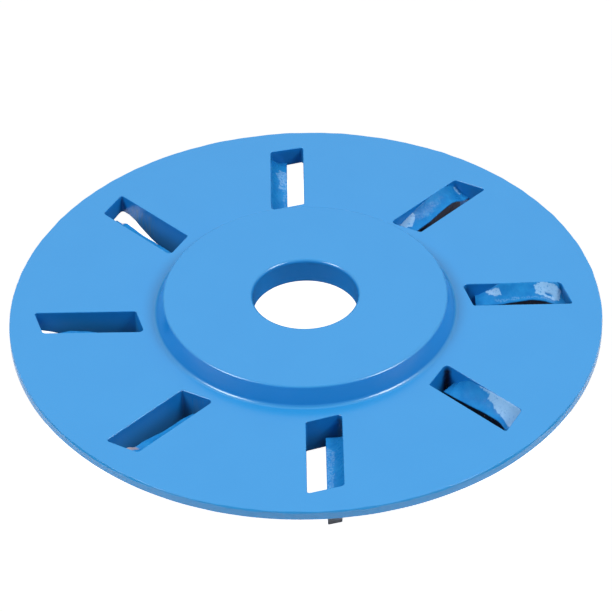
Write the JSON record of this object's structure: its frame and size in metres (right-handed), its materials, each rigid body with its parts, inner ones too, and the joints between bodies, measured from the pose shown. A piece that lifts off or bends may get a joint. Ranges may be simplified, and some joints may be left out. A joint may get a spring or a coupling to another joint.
{
  "type": "wood carving disc",
  "caption": "Round slotted steel disc with a raised hub and brazed carbide tips for an angle grinder, for carving and shaping wood.",
  "frame": {"origin": "on the spindle axis, level with the plate's top face, inside the arbor bore", "axes": "+Z along the spindle axis, out of the raised hub towards the grinder; the tips point to -Z; the middle slot line of slot 1 lies along -Y"},
  "size_m": [0.09, 0.09, 0.0107],
  "materials": {
    "disc_paint": "semi-gloss blue powder paint over machined steel",
    "bead_paint": "glossy blue paint over a lumpy braze bead, bare braze in small spots",
    "carbide": "ground tungsten carbide, dull dark grey"
  },
  "bodies": {
    "root": {"disc_body": "disc_paint", "carbide_tip_1": "carbide", "carbide_tip_2": "carbide", "carbide_tip_3": "carbide", "carbide_tip_4": "carbide", "carbide_tip_5": "carbide", "carbide_tip_6": "carbide", "carbide_tip_7": "carbide", "carbide_tip_8": "carbide", "braze_bead_1": "bead_paint", "braze_bead_2": "bead_paint", "braze_bead_3": "bead_paint", "braze_bead_4": "bead_paint", "braze_bead_5": "bead_paint", "braze_bead_6": "bead_paint", "braze_bead_7": "bead_paint", "braze_bead_8": "bead_paint"}
  },
  "joints": []
}
